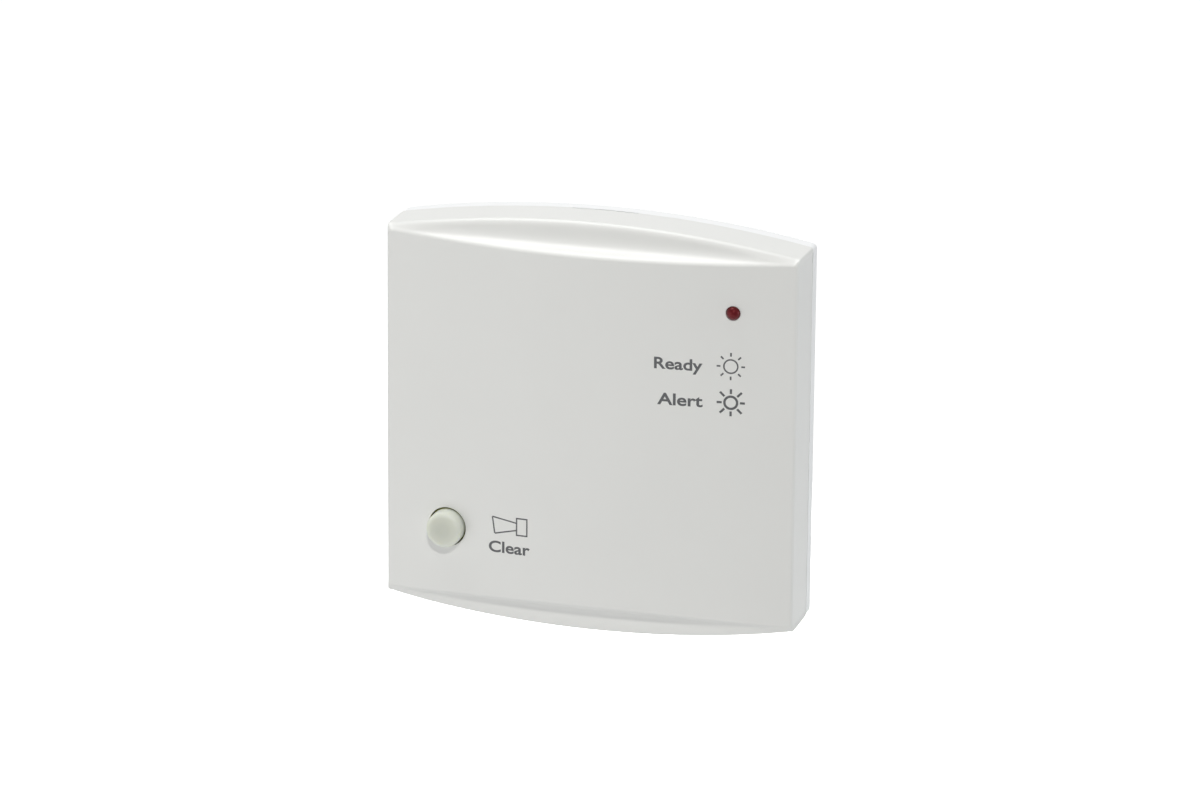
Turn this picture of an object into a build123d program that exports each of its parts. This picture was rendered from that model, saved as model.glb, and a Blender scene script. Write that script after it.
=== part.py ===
from build123d import *
from math import atan, cos, radians, sin, sqrt
import os

os.makedirs("parts", exist_ok=True)

# Water leak detector for a wall: a slim square housing with a bowed face, a signal lamp and a
# reset button, and inside it a circuit board with terminals, a relay and a sounder.
# All sizes are millimetres. Each piece is modelled with the unit lying on its back, X to the
# right, Y up the wall and Z out of the wall, and is stood up against the wall when it is written.

# Outline and face of the housing
width = 87.0                # between the straight sides
side_height = 78.4          # length of a straight side
edge_rise = 4.1             # how far the top and bottom edges bow outwards
outline_round = 1.2         # corners of the outline
rim_depth = 13.5            # wall to the flat rim above and below the face
face_bulge = 3.8            # how far the bowed face stands over the rim
face_side_round = 0.6       # long upright edges of the face
side_taper = 0.3            # how far each side leans in between the wall and the rim
scoop_foot = 0.45           # from a side's end to the foot of the scoop's slope
scoop_slope = 0.36          # run of the slope up the wall for each millimetre out of it
scoop_round = 3.5           # hollow round at the foot of the slope
rim_hollow = 2.0            # hollow round inside the rim, near the corners
ridge_round = 1.7           # outer edge of the rim
ridge_overlap = 0.06        # how far the rim's round starts outside the flat faces beside it
wall = 2.0                  # thickness of the cover
inner_round = 0.6           # smallest round of the corners inside
form_spare = 12.0           # how far the shapes that cut the cover reach past it

# Joint between the cover and the base
base_edge = 3.1             # edge of the base that shows behind the cover
joint_gap = 0.25            # shadow line between the two
lip_clearance = 0.15        # the base's lip inside the cover's wall
lip_wall = 1.2
lip_height = 3.0            # lip over the edge of the base
snap_width = 13.0           # snap ribs on the lip, one above and two below
snap_height = 1.0
snap_reach = 0.55           # how far a rib stands out of the lip
snap_lift = 0.9             # underside of a rib over the cover's rear edge
snap_clearance = 0.15       # pocket in the cover around a rib
snap_offset = 24.0          # middle of each lower rib from the centre line
release_width = 13.8        # slot in the cover's rear edge for a screwdriver
release_height = 0.5

# Base
floor = 2.0
cable_side = 29.5           # opening for the cables behind the unit, in from each side
cable_height = 12.0
cable_round = 2.0
cable_level = -27.0         # middle of the opening, up the wall
slot_side = 13.5            # slots for the two wall screws, in from each side
slot_width = 4.4
slot_length = 9.0
post_size = 5.2             # square posts that carry the circuit board
post_height = 1.8
post_side = 17.0            # posts in from each side of the board
post_end = 3.5              # posts in from the board's top and bottom

# Circuit board
board_side_gap = 3.15       # board inside the base's lip, at each side
board_end_gap = 6.2         # board's ends inside the ends of the unit's sides
board_thick = 1.6
board_round = 1.5
notch_height = 11.0         # side notches that leave room for the wall screws' heads
notch_margin = 0.5
cable_margin_side = 2.0     # notch in the board around the cable opening
cable_margin_top = 1.5
lead_clearance = 0.1        # holes in the board around a lead, on each side
lead_tail = 1.2             # leads under the board

# Small rounds that repeat are drawn with flats
shank_flats = 12            # shanks of screws, and the holes around them
head_flats = 16             # heads of screws
edge_cones = 3              # cones that stand for the cap's rounded edge

# Board screws
screw_radius = 1.1
screw_length = 4.2
screw_clearance = 0.02      # pilot hole around the screw
screw_hole_clearance = 0.15 # hole in the board around the screw
screw_head_radius = 2.0
screw_head_height = 1.5
recess_length = 2.4
screw_tip_clearance = 0.2
recess_width = 0.6          # width of cross recesses and screwdriver slots
recess_depth = 0.7

# Signal lamp
lamp_side = 13.14           # lamp in from the unit's right side
lamp_end = 11.47            # lamp below the upper end of the side
lamp_radius = 1.5
lamp_height = 5.3
lamp_stand_out = 1.1        # top of the dome over the face
lamp_flange_radius = 1.9
lamp_flange_height = 0.9
lamp_clearance = 0.1
lamp_lead = 0.45
lamp_lead_pitch = 2.54
spacer_radius = 2.1

# Reset button
button_side = 13.9          # button in from the unit's left side
button_end = 15.81          # button over the lower end of the side
button_radius = 3.75
button_clearance = 0.33     # around the cap in its hole
button_stand_out = 3.0      # top of the cap over the face
button_round = 0.9
button_travel = 0.8
button_flange_reach = 1.25  # flange that keeps the cap behind the cover
button_flange_height = 0.8
button_rest_gap = 0.3       # flange under the end of its collar
collar_wall = 1.2
collar_reach = 0.8          # collar behind the inside of the face

# Switch under the button
switch_size = 12.0
flange_gap = 0.1            # fully pressed flange over the switch's lid
switch_floor = 0.5
switch_bore = 5.0           # radius of the round chamber
switch_lid = 0.4
plunger_gap = 0.1           # plunger's disc under the lid
plunger_side_gap = 0.4
plunger_disc = 0.7
neck_radius = 2.5
neck_clearance = 0.2
neck_height = 0.9
stem_size = 3.6
stem_height = 3.2
stem_fit = 0.02
nub_radius = 1.3
nub_height = 0.8
washer_thick = 0.2
washer_reach = 0.2          # washer inside the plunger's disc
washer_bore_gap = 0.1
spring_radius = 2.0
spring_wire = 0.35
spring_turns = 2
spring_sides = 6
contact_size = 0.6
contact_offset = 2.6        # contacts from the button's axis, along X and along Y
contact_gap_extra = 0.05    # gap over the contacts beyond the button's travel

# Sounder
sounder_side = 13.0         # sounder in from the board's left side
sounder_end = 14.0          # sounder below the board's top
sounder_radius = 6.0
sounder_headroom = 3.7      # sounder under the inside of the face, at its middle
sounder_wall = 0.6
sounder_ledge = 0.5
sounder_hole = 1.0
sounder_base = 1.0
sounder_air = 1.4           # air over the disc
disc_thick = 0.3
disc_fit = 0.05
sounder_pin = 0.5
sounder_pin_pitch = 6.5

# Relay
relay_x = 10.0
relay_y = -3.8
relay_length = 14.0
relay_width = 9.0
relay_height = 5.0
relay_round = 0.5
relay_pin_x = 0.5
relay_pin_y = 0.3
relay_pin_pitch = 3.2
relay_pin_rows = 5.08
relay_pin_columns = 4

# Terminal blocks
pole_pitch = 3.81
block_depth = 7.5
block_headroom = 1.7        # blocks under the inside of the face, at its middle
block_gap = 0.5
block_setback = 0.5         # front of the blocks behind the edge of the board's notch
block_round = 0.4
chamber_width = 2.9
chamber_depth = 6.2
chamber_low = 1.0
chamber_roof = 2.4
clamp_gap = 0.1
clamp_depth = 4.0
clamp_setback = 0.8
clamp_headroom = 0.5
clamp_wall = 0.4
tongue_width = 1.6
tongue_thick = 0.5
tongue_headroom = 0.2       # tongue under the clamp's top
pin_width = 1.0
pin_thick = 0.6
terminal_screw_radius = 0.85
terminal_head_radius = 1.3
terminal_head_height = 1.2
terminal_head_lift = 1.1    # underside of the head over the clamp
terminal_screw_clearance = 0.1
terminal_slot = 2.0         # slot in the screw's head, closed at both ends

# Capacitors
can_side = 7.5              # cans in from the board's right side
can_end = 13.0              # middle between the two, over the board's lower end
can_spacing = 10.0
can_radius = 3.15
can_headroom = 4.2          # cans under the inside of the face, at its middle
can_bevel = 0.3
can_base = 6.6
can_base_height = 0.5
can_base_bevel = 1.0

# Surface mounted parts: bodies and gull-wing legs
leg_thick = 0.2
leg_foot = 0.5
leg_reach = 1.0
controller_x = -1.0
controller_y = 14.0
controller_length = 8.6
controller_width = 3.9
controller_height = 1.5
controller_pitch = 1.27
controller_pairs = 7
controller_leg = 0.4
regulator_x = -9.5
regulator_y = 3.5
regulator_length = 6.5
regulator_width = 3.5
regulator_height = 1.6
regulator_pitch = 2.3
regulator_leg = 0.7
regulator_tab = 3.0
rectifier_x = -8.5
rectifier_y = -6.0
rectifier_length = 4.7
rectifier_width = 3.9
rectifier_height = 1.6
rectifier_pitch = 2.54
rectifier_leg = 0.6
transistor_x = 18.5
transistor_y = 6.0
transistor_length = 2.9
transistor_width = 1.3
transistor_height = 1.0
transistor_pitch = 1.9
transistor_leg = 0.4
diode_x = 9.5
diode_y = 4.5
diode_length = 2.7
diode_width = 1.6
diode_height = 1.1
body_stand = 0.1            # chip bodies over the board
body_bevel = 0.15

# Chip resistors and chip capacitors
resistor_length = 2.0
resistor_width = 1.25
resistor_height = 0.5
resistor_places = [(-8.0, 21.0), (-4.0, 21.0), (0.0, 21.0), (4.0, 21.0),
                   (8.0, 21.0), (24.5, 16.0), (24.5, 13.0), (14.0, 10.0)]
ceramic_length = 2.0
ceramic_width = 1.25
ceramic_height = 0.9
ceramic_places = [(-9.0, 14.0), (7.5, 14.0), (-2.5, 4.0), (-15.0, -6.0)]

# Values that follow from the sizes above
face_radius = ((width / 2) ** 2 + face_bulge ** 2) / (2 * face_bulge)
outline_radius = ((width / 2) ** 2 + edge_rise ** 2) / (2 * edge_rise)
outline_centre = side_height / 2 + edge_rise - outline_radius
cover_back = base_edge + joint_gap
form_height = rim_depth + form_spare
room_top = rim_depth + face_bulge - wall
board_bottom = floor + post_height
board_top = board_bottom + board_thick
slot_spacing = width - 2 * slot_side
notch_side = slot_spacing / 2 - slot_length / 2 - notch_margin
cable_width = width - 2 * cable_side
cable_notch_half = cable_width / 2 + cable_margin_side
cable_notch_top = cable_level + cable_height / 2 + cable_margin_top
lip_inset = wall + lip_clearance
board_width = width - 2 * (lip_inset + lip_wall + board_side_gap)
board_height = side_height - 2 * board_end_gap
post_span_x = board_width - 2 * post_side
post_span_y = board_height - 2 * post_end
lamp_x = width / 2 - lamp_side
lamp_y = side_height / 2 - lamp_end
button_x = button_side - width / 2
button_y = button_end - side_height / 2
sounder_x = sounder_side - board_width / 2
sounder_y = board_height / 2 - sounder_end
can_x = board_width / 2 - can_side
can_level = can_end - board_height / 2
sounder_height = room_top - sounder_headroom - board_top
disc_level = sounder_height - sounder_wall - sounder_air
block_height = room_top - block_headroom - board_top
chamber_height = block_height - chamber_low - chamber_roof
clamp_height = chamber_height - clamp_gap - clamp_headroom
can_height = room_top - can_headroom - can_base_height - board_top
snap_low = cover_back + snap_lift
lead_bottom = board_bottom - lead_tail
pole_width = pole_pitch


def face_depth(x):
    """Distance of the bowed face from the wall, at a place across the unit."""
    return rim_depth + face_bulge - face_radius + sqrt(face_radius ** 2 - x ** 2)


def block(x, y, low, size_x, size_y, height):
    """Upright box that stands at a level, centred on a place."""
    return Pos(x, y, low + height / 2) * Box(size_x, size_y, height)


def centred(count, pitch):
    """Offsets of equal steps on both sides of a middle."""
    return [(step - (count - 1) / 2) * pitch for step in range(count)]


def disc(x, y, low, radius, height):
    """Upright cylinder that stands at a level, centred on a place."""
    return Pos(x, y, low + height / 2) * Cylinder(radius, height)


def peg(x, y, low, radius, height, flats):
    """Upright prism with many flats that stands for a small cylinder, centred on a place."""
    return Pos(x, y, low) * extrude(RegularPolygon(radius, flats), height)


def stepped_round(radius, top, size):
    """Rounded edge of a turned piece as a few cones: places of its profile, from the wall up."""
    turns = [radians(90) * step / edge_cones for step in range(edge_cones + 1)]
    return [(radius - size * (1 - cos(turn)), top - size * (1 - sin(turn))) for turn in turns]


def turned(x, y, profile):
    """Piece turned around an upright axis from a profile of radius and level."""
    return Pos(x, y, 0) * revolve(Plane.XZ * make_face(Polyline(*profile, close=True)), Axis.Z)


def outline(inset):
    """Outline of the housing, drawn in by a distance: straight sides, bowed top and bottom."""
    half = width / 2 - inset
    corner = outline_centre + sqrt((outline_radius - inset) ** 2 - half ** 2)
    crown = outline_centre + outline_radius - inset
    sides = [
        ThreePointArc((half, corner), (0, crown), (-half, corner)),
        Line((-half, corner), (-half, -corner)),
        ThreePointArc((-half, -corner), (0, -crown), (half, -corner)),
        Line((half, -corner), (half, corner)),
    ]
    face = make_face(sides)
    return fillet(face.vertices(), max(outline_round - inset, inner_round))


def front_section(inset):
    """Section across the unit: the bowed face, its rounded upright edges and the tapered sides."""
    back = width / 2 - inset
    front = back - side_taper
    centre = rim_depth + face_bulge - face_radius
    corner = centre + sqrt((face_radius - inset) ** 2 - front ** 2)
    flare = side_taper * (corner + wall) / rim_depth
    arc = ThreePointArc((front, corner), (0, rim_depth + face_bulge - inset), (-front, corner))
    sides = Polyline((-front, corner), (-front - flare, -wall), (front + flare, -wall), (front, corner))
    face = make_face([arc, sides])
    if face_side_round > inset:
        corners = face.vertices().sort_by(Axis.Y)[-2:]
        face = fillet(corners, face_side_round - inset)
    return Plane.XZ * face


def scoop_section(inset):
    """Section up the wall: flat rims, hollow rounds, and slopes that rise to the face."""
    slope = atan(scoop_slope)
    radius = scoop_round + inset
    centre_y = side_height / 2 - scoop_foot + scoop_round * (1 - sin(slope)) / cos(slope)
    centre_z = rim_depth + scoop_round
    middle = (slope + radians(90)) / 2
    foot = centre_z - radius
    halfway = (centre_y - radius * cos(middle), centre_z - radius * sin(middle))
    end = (centre_y - radius * cos(slope), centre_z - radius * sin(slope))
    top = end[0] - (form_height - end[1]) * scoop_slope
    outer = side_height / 2 + form_spare
    sides = [Line((-top, form_height), (top, form_height)), Line((-outer, -wall), (outer, -wall))]
    for sign in (-1, 1):
        sides.append(Line((sign * outer, -wall), (sign * outer, foot)))
        sides.append(Line((sign * outer, foot), (sign * centre_y, foot)))
        start = (sign * centre_y, foot)
        finish = (sign * end[0], end[1])
        sides.append(ThreePointArc(start, (sign * halfway[0], halfway[1]), finish))
        sides.append(Line(finish, (sign * top, form_height)))
    return Plane.YZ * make_face(sides)


def rim_disc():
    """Disc whose edge is the bowed top edge of the unit: rounded ridge, then a hollow inside it."""
    edge = outline_radius + ridge_overlap
    crown = rim_depth + ridge_overlap
    inner = edge - ridge_round
    bend = sqrt(0.5)
    ridge = ThreePointArc((edge, crown - ridge_round),
                          (inner + ridge_round * bend, crown - ridge_round * (1 - bend)),
                          (inner, crown))
    hollow = ThreePointArc((inner, crown),
                           (inner - rim_hollow * bend, crown + rim_hollow * (1 - bend)),
                           (inner - rim_hollow, crown + rim_hollow))
    sides = Polyline((inner - rim_hollow, crown + rim_hollow), (inner - rim_hollow, form_height),
                     (0, form_height), (0, -wall), (edge, -wall), (edge, crown - ridge_round))
    profile = Plane.XZ * make_face([ridge, hollow, sides])
    return Pos(0, outline_centre, 0) * revolve(profile, Axis.Z)


def cover_form(inset, back):
    """Solid form of the cover, drawn in by a distance: outline, bowed face and both scoops."""
    prism = Pos(0, 0, back) * extrude(outline(inset), form_height)
    front = extrude(front_section(inset), side_height, both=True)
    scoops = extrude(scoop_section(inset), width, both=True)
    return prism & front & scoops


def collar_end():
    """Level of the inner end of the collar around the button's hole."""
    return face_depth(button_x) - wall - collar_reach


def ring(outer_inset, inner_inset, low, height):
    """Upright ring between two drawn-in outlines."""
    outer = Pos(0, 0, low) * extrude(outline(outer_inset), height)
    return outer - Pos(0, 0, low) * extrude(outline(inner_inset), height)


def snap_ribs(clearance):
    """Ribs on the lip that hold the cover, or the pockets around them in the cover."""
    low = snap_low - clearance
    height = snap_height + 2 * clearance
    length = snap_width + 2 * clearance
    band = ring(lip_inset - snap_reach - clearance, lip_inset, low, height)
    reach = edge_rise + 4 * wall
    upper = block(0, side_height / 2, low, length, reach, height)
    ribs = band & upper
    for side in (-1, 1):
        lower = block(side * snap_offset, -side_height / 2, low, length, reach, height)
        ribs = ribs + (band & lower)
    return ribs


def front_cover():
    """Moulded cover: bowed face, two scoops, lamp hole, button hole with its collar."""
    upper_rim = rim_disc()
    form = cover_form(0, cover_back) & upper_rim & mirror(upper_rim, Plane.XZ)
    shell = form - cover_form(wall, cover_back - wall)
    hole_radius = button_radius + button_clearance
    collar_height = collar_reach + wall / 2
    collar = disc(button_x, button_y, collar_end(), hole_radius + collar_wall, collar_height)
    shell = shell + collar
    shell = shell - disc(button_x, button_y, floor, hole_radius, form_height)
    shell = shell - disc(lamp_x, lamp_y, floor, lamp_radius + lamp_clearance, form_height)
    shell = shell - snap_ribs(snap_clearance)
    slot_depth = edge_rise + 2 * wall
    release = block(0, side_height / 2 + edge_rise, cover_back, release_width, slot_depth, release_height)
    return shell - release


def post_places():
    """Places of the four posts and their screws."""
    return [(x * post_span_x / 2, y * post_span_y / 2) for x in (-1, 1) for y in (-1, 1)]


def base_plate():
    """Moulded base: floor, edge, lip with snap ribs, posts, cable opening and wall slots."""
    plate = extrude(outline(0), base_edge)
    hollow = Pos(0, 0, floor) * extrude(outline(lip_inset + lip_wall), base_edge)
    plate = plate - hollow + ring(lip_inset, lip_inset + lip_wall, base_edge, lip_height)
    plate = plate + snap_ribs(0)
    for x, y in post_places():
        plate = plate + block(x, y, floor, post_size, post_size, post_height)
    pilot_depth = screw_length - board_thick + screw_tip_clearance
    for x, y in post_places():
        pilot_low = board_bottom - pilot_depth
        pilot_radius = screw_radius + screw_clearance
        plate = plate - peg(x, y, pilot_low, pilot_radius, pilot_depth, shank_flats)
    opening = extrude(RectangleRounded(cable_width, cable_height, cable_round), base_edge)
    plate = plate - Pos(0, cable_level, 0) * opening
    for side in (-1, 1):
        slot = extrude(SlotOverall(slot_length, slot_width), base_edge)
        plate = plate - Pos(side * slot_spacing / 2, 0, 0) * slot
    return plate


def lead_places():
    """Place and size of each lead that passes through the board."""
    leads = []
    for side in (-1, 1):
        leads.append((lamp_x + side * lamp_lead_pitch / 2, lamp_y, lamp_lead, lamp_lead))
        leads.append((sounder_x + side * sounder_pin_pitch / 2, sounder_y, sounder_pin, sounder_pin))
    for x, y in contact_places():
        leads.append((x, y, contact_size, contact_size))
    for x, y in relay_pin_places():
        leads.append((x, y, relay_pin_x, relay_pin_y))
    for x, count in terminal_blocks():
        for pole in pole_places(x, count):
            leads.append((pole, pin_level(), pin_width, pin_thick))
    return leads


def circuit_board():
    """Board with side notches, a notch for the cables, screw holes and holes for the leads."""
    sheet = extrude(RectangleRounded(board_width, board_height, board_round), board_thick)
    board = Pos(0, 0, board_bottom) * sheet
    notch_reach = board_width / 2 - notch_side
    for side in (-1, 1):
        notch_x = side * (board_width / 2 - notch_reach / 2)
        board = board - block(notch_x, 0, board_bottom, notch_reach, notch_height, board_thick)
    notch_length = board_height / 2 + cable_notch_top
    notch_y = cable_notch_top - notch_length / 2
    board = board - block(0, notch_y, board_bottom, 2 * cable_notch_half, notch_length, board_thick)
    for x, y in post_places():
        hole_radius = screw_radius + screw_hole_clearance
        board = board - peg(x, y, board_bottom, hole_radius, board_thick, shank_flats)
    for x, y, size_x, size_y in lead_places():
        room = 2 * lead_clearance
        board = board - block(x, y, board_bottom, size_x + room, size_y + room, board_thick)
    return board


def cross_recess(x, y, top, length):
    """Cross-shaped recess in a screw's head."""
    low = top - recess_depth
    along = block(x, y, low, length, recess_width, recess_depth)
    return along + block(x, y, low, recess_width, length, recess_depth)


def board_screws():
    """Four pan-head screws that hold the board on its posts."""
    screws = []
    for x, y in post_places():
        low = board_top - screw_length
        shank = peg(x, y, low, screw_radius, screw_length, shank_flats)
        head = peg(x, y, board_top, screw_head_radius, screw_head_height, head_flats)
        top = board_top + screw_head_height
        screws.append(shank + head - cross_recess(x, y, top, recess_length))
    return screws


def lamp_base():
    """Level of the lamp's underside."""
    return face_depth(lamp_x) + lamp_stand_out - lamp_height


def lamp_lens():
    """Domed signal lamp with the flange that sits behind the cover."""
    low = lamp_base()
    straight = lamp_height - lamp_radius
    body = disc(lamp_x, lamp_y, low, lamp_radius, straight)
    dome = Pos(lamp_x, lamp_y, low + straight) * Sphere(lamp_radius)
    flange = disc(lamp_x, lamp_y, low, lamp_flange_radius, lamp_flange_height)
    return body + dome + flange


def lamp_spacer():
    """Tube that holds the lamp at its height over the board."""
    height = lamp_base() - board_top
    tube = disc(lamp_x, lamp_y, board_top, spacer_radius, height)
    hole = lamp_lead + 2 * lead_clearance
    for side in (-1, 1):
        x = lamp_x + side * lamp_lead_pitch / 2
        tube = tube - block(x, lamp_y, board_top, hole, hole, height)
    return tube


def lamp_leads():
    """The lamp's two leads, from its underside to under the board."""
    height = lamp_base() - lead_bottom
    leads = []
    for side in (-1, 1):
        x = lamp_x + side * lamp_lead_pitch / 2
        leads.append(block(x, lamp_y, lead_bottom, lamp_lead, lamp_lead, height))
    return leads


def switch_top():
    """Level of the top of the switch's tub, under its lid."""
    return flange_low() - button_travel - flange_gap - switch_lid


def plunger_top():
    """Level of the top of the plunger's disc."""
    return switch_top() - plunger_gap


def stem_base():
    """Level where the plunger's neck ends and its square stem starts."""
    return plunger_top() + neck_height + plunger_gap + switch_lid - neck_clearance


def flange_low():
    """Level of the underside of the cap's flange, at rest."""
    return collar_end() - button_rest_gap - button_flange_height


def reset_cap():
    """Round button cap with a flange behind the cover and a socket for the plunger's stem."""
    low = flange_low()
    top = face_depth(button_x) + button_stand_out
    flange_radius = button_radius + button_flange_reach
    flange_top = low + button_flange_height
    profile = [(0, low), (flange_radius, low), (flange_radius, flange_top), (button_radius, flange_top)]
    profile = profile + stepped_round(button_radius, top, button_round) + [(0, top)]
    cap = turned(button_x, button_y, profile)
    socket = stem_size + 2 * stem_fit
    socket_depth = stem_base() + stem_height - low
    return cap - block(button_x, button_y, low, socket, socket, socket_depth)


def switch_body():
    """Square tub of the switch with its round chamber and holes for the contacts."""
    height = switch_top() - board_top
    tub = block(button_x, button_y, board_top, switch_size, switch_size, height)
    tub = tub - disc(button_x, button_y, board_top + switch_floor, switch_bore, height)
    for x, y in contact_places():
        tub = tub - block(x, y, board_top, contact_size, contact_size, switch_floor)
    return tub


def switch_cover():
    """Metal plate that closes the switch around the plunger's neck."""
    plate = block(button_x, button_y, switch_top(), switch_size, switch_size, switch_lid)
    return plate - disc(button_x, button_y, switch_top(), neck_radius + neck_clearance, switch_lid)


def switch_plunger():
    """Plunger: nub, disc, round neck and the square stem that carries the cap."""
    disc_low = plunger_top() - plunger_disc
    body = disc(button_x, button_y, disc_low, switch_bore - plunger_side_gap, plunger_disc)
    body = body + disc(button_x, button_y, disc_low - nub_height, nub_radius, nub_height)
    neck = stem_base() - plunger_top()
    body = body + disc(button_x, button_y, plunger_top(), neck_radius, neck)
    return body + block(button_x, button_y, stem_base(), stem_size, stem_size, stem_height)


def washer_low():
    """Level of the underside of the contact washer."""
    return plunger_top() - plunger_disc - washer_thick


def contact_washer():
    """Metal washer under the plunger that bridges the contacts when the button is pressed."""
    outer = switch_bore - plunger_side_gap - washer_reach
    body = disc(button_x, button_y, washer_low(), outer, washer_thick)
    return body - disc(button_x, button_y, washer_low(), nub_radius + washer_bore_gap, washer_thick)


def return_spring():
    """Coil spring between the switch's floor and the washer."""
    low = board_top + switch_floor
    height = washer_low() - low - spring_wire
    coil = Helix(pitch=height / spring_turns, height=height, radius=spring_radius)
    section = Plane(origin=coil @ 0, z_dir=coil % 0) * RegularPolygon(spring_wire / 2, spring_sides)
    wire = sweep(section, path=coil)
    return Pos(button_x, button_y, low + spring_wire / 2) * wire


def contact_places():
    """Places of the switch's four contacts."""
    signs = (-1, 1)
    return [(button_x + x * contact_offset, button_y + y * contact_offset) for x in signs for y in signs]


def switch_contacts():
    """Four square posts, from under the board up to the switch's chamber."""
    top = washer_low() - button_travel - contact_gap_extra
    height = top - lead_bottom
    return [block(x, y, lead_bottom, contact_size, contact_size, height) for x, y in contact_places()]


def sounder_case():
    """Round cup of the sounder with its sound hole and an inner ledge for the disc."""
    case = disc(sounder_x, sounder_y, board_top, sounder_radius, sounder_height)
    lower = sounder_radius - sounder_wall
    case = case - disc(sounder_x, sounder_y, board_top, lower, disc_level)
    air = sounder_height - disc_level - sounder_wall
    case = case - disc(sounder_x, sounder_y, board_top + disc_level, lower - sounder_ledge, air)
    return case - disc(sounder_x, sounder_y, board_top, sounder_hole, sounder_height)


def sounder_disc():
    """Thin disc that makes the sound, seated under the ledge."""
    low = board_top + disc_level - disc_thick
    return disc(sounder_x, sounder_y, low, sounder_radius - sounder_wall - disc_fit, disc_thick)


def sounder_plug():
    """Plug that closes the sounder's case over the board."""
    plug = disc(sounder_x, sounder_y, board_top, sounder_radius - sounder_wall - disc_fit, sounder_base)
    for side in (-1, 1):
        x = sounder_x + side * sounder_pin_pitch / 2
        plug = plug - block(x, sounder_y, board_top, sounder_pin, sounder_pin, sounder_base)
    return plug


def sounder_pins():
    """Two pins, from under the board up to the disc."""
    height = board_top + disc_level - disc_thick - lead_bottom
    pins = []
    for side in (-1, 1):
        x = sounder_x + side * sounder_pin_pitch / 2
        pins.append(block(x, sounder_y, lead_bottom, sounder_pin, sounder_pin, height))
    return pins


def relay_pin_places():
    """Places of the relay's eight pins, in two rows."""
    places = []
    for row in (-1, 1):
        for offset in centred(relay_pin_columns, relay_pin_pitch):
            places.append((relay_x + offset, relay_y + row * relay_pin_rows / 2))
    return places


def output_relay():
    """Sealed case of the output relay."""
    case = block(relay_x, relay_y, board_top, relay_length, relay_width, relay_height)
    return fillet(case.edges().filter_by(Axis.Z), relay_round)


def relay_pins():
    """Eight relay pins."""
    height = board_top - lead_bottom
    return [block(x, y, lead_bottom, relay_pin_x, relay_pin_y, height) for x, y in relay_pin_places()]


def terminal_blocks():
    """Middle and number of poles of the supply, relay and sensor terminal blocks."""
    side_x = (3 * pole_width + 2 * pole_width) / 2 + block_gap
    return [(-side_x, 2), (0, 3), (side_x, 2)]


def pole_places(x, count):
    """Middle of each pole of a terminal block."""
    return [x + offset for offset in centred(count, pole_pitch)]


def block_front():
    """Front of the terminal blocks, up the wall: the wires come in here from below."""
    return cable_notch_top + block_setback


def clamp_low():
    """Level of the underside of a wire clamp."""
    return board_top + chamber_low + clamp_gap


def clamp_top():
    """Level of the top of a wire clamp."""
    return clamp_low() + clamp_height


def tongue_top():
    """Level of the top of a terminal's tongue, inside the clamp."""
    return clamp_top() - clamp_wall - tongue_headroom


def pin_level():
    """Middle of a terminal's pin, up the wall, behind its clamp."""
    return block_front() + chamber_depth - clamp_gap - pin_thick / 2


def terminal_block(x, count):
    """Housing of a terminal block: wire chambers open below, screw holes in the front."""
    front = block_front()
    body = block(x, front + block_depth / 2, board_top, count * pole_width, block_depth, block_height)
    body = fillet(body.edges().filter_by(Axis.Z), block_round)
    screw_y = front + clamp_setback + clamp_depth / 2
    hole = 2 * (terminal_head_radius + terminal_screw_clearance)
    chamber_top = board_top + chamber_low + chamber_height
    for pole in pole_places(x, count):
        room_y = front + chamber_depth / 2
        chamber = block(pole, room_y, board_top + chamber_low, chamber_width, chamber_depth, chamber_height)
        body = body - chamber
        hole_height = board_top + block_height - chamber_top
        body = body - block(pole, screw_y, chamber_top, hole, hole, hole_height)
        body = body - block(pole, pin_level(), board_top, pin_width, pin_thick, chamber_low)
    return body


def terminal_poles():
    """Middle of each of the seven poles."""
    return [pole for x, count in terminal_blocks() for pole in pole_places(x, count)]


def terminal_clamps():
    """Wire clamps: one square cage in each pole, with a hole for its screw."""
    cages = []
    middle = block_front() + clamp_setback + clamp_depth / 2
    outer = chamber_width - 2 * clamp_gap
    for x in terminal_poles():
        cage = block(x, middle, clamp_low(), outer, clamp_depth, clamp_height)
        inner_height = clamp_height - 2 * clamp_wall
        inner = outer - 2 * clamp_wall
        cage = cage - block(x, middle, clamp_low() + clamp_wall, inner, clamp_depth, inner_height)
        hole_radius = terminal_screw_radius + terminal_screw_clearance
        hole_low = clamp_top() - clamp_wall
        cages.append(cage - peg(x, middle, hole_low, hole_radius, clamp_wall, shank_flats))
    return cages


def terminal_screws():
    """Slotted screws that close the wire clamps on the tongues."""
    screws = []
    y = block_front() + clamp_setback + clamp_depth / 2
    for x in terminal_poles():
        head_low = clamp_top() + terminal_head_lift
        shank = head_low - tongue_top()
        screw = peg(x, y, tongue_top(), terminal_screw_radius, shank, shank_flats)
        screw = screw + peg(x, y, head_low, terminal_head_radius, terminal_head_height, head_flats)
        slot_low = head_low + terminal_head_height - recess_depth
        screws.append(screw - block(x, y, slot_low, terminal_slot, recess_width, recess_depth))
    return screws


def terminal_pins():
    """Terminal pins: a leg through the board and a tongue that reaches into the clamp."""
    pins = []
    tongue_front = block_front() + clamp_setback
    tongue_back = pin_level() + pin_thick / 2
    for x in terminal_poles():
        leg = block(x, pin_level(), lead_bottom, pin_width, pin_thick, tongue_top() - lead_bottom)
        middle = (tongue_front + tongue_back) / 2
        length = tongue_back - tongue_front
        tongue = block(x, middle, tongue_top() - tongue_thick, tongue_width, length, tongue_thick)
        pins.append(leg + tongue)
    return pins


def can_places():
    """Middle of each capacitor, up the wall."""
    return [can_level + offset for offset in centred(2, can_spacing)]


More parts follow.
